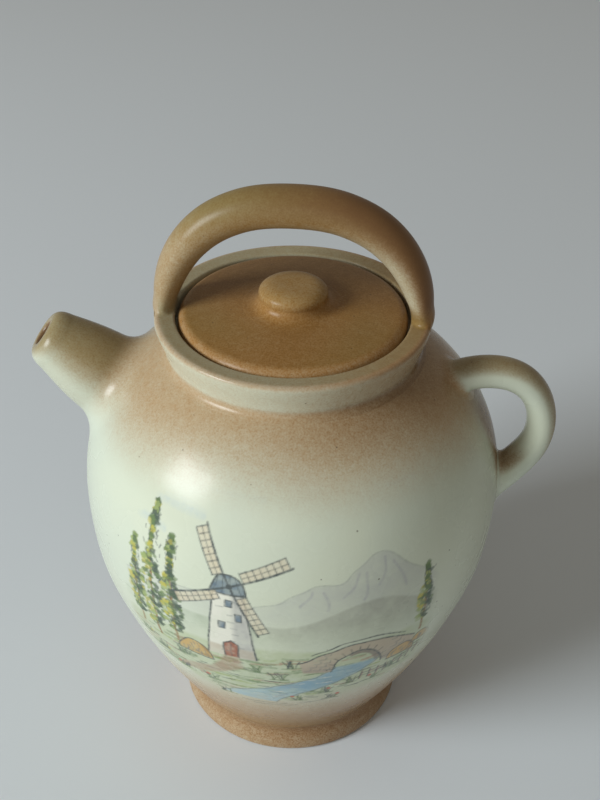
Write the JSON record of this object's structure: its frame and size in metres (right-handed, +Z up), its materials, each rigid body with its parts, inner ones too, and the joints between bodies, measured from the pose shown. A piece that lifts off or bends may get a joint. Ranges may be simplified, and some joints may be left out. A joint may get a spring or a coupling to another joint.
{
  "type": "lidded jug",
  "caption": "Glazed stoneware jug with an egg-shaped body, a short slanted pouring spout, a loop side handle, a hoop handle and a sunk lid with a low knob.",
  "frame": {"origin": "centre of the foot ring's resting face, on the body's upright axis", "axes": "+Z up along the body's axis, the spout points to -X, the side handle stands at +X, the decorated front looks to -Y"},
  "size_m": [0.2484, 0.2004, 0.2963],
  "materials": {
    "cream_glaze": "satin pale green-cream glaze, airbrushed ochre towards the collar and foot",
    "ochre_glaze": "satin mottled ochre-brown glaze",
    "lid_glaze": "satin mottled ochre-brown glaze with darker speckle"
  },
  "bodies": {
    "vessel": {"body_shell": "cream_glaze", "foot_ring": "ochre_glaze", "collar": "ochre_glaze", "spout": "cream_glaze", "side_handle": "cream_glaze", "hoop_handle": "ochre_glaze"},
    "loose_lid": {"lid": "lid_glaze", "lid_knob": "lid_glaze"}
  },
  "joints": [
    {"name": "lid_lift", "type": "slide", "parent": "vessel", "child": "loose_lid", "axis": [0, 0, 1], "range_m": [0, 0.0075]}
  ]
}
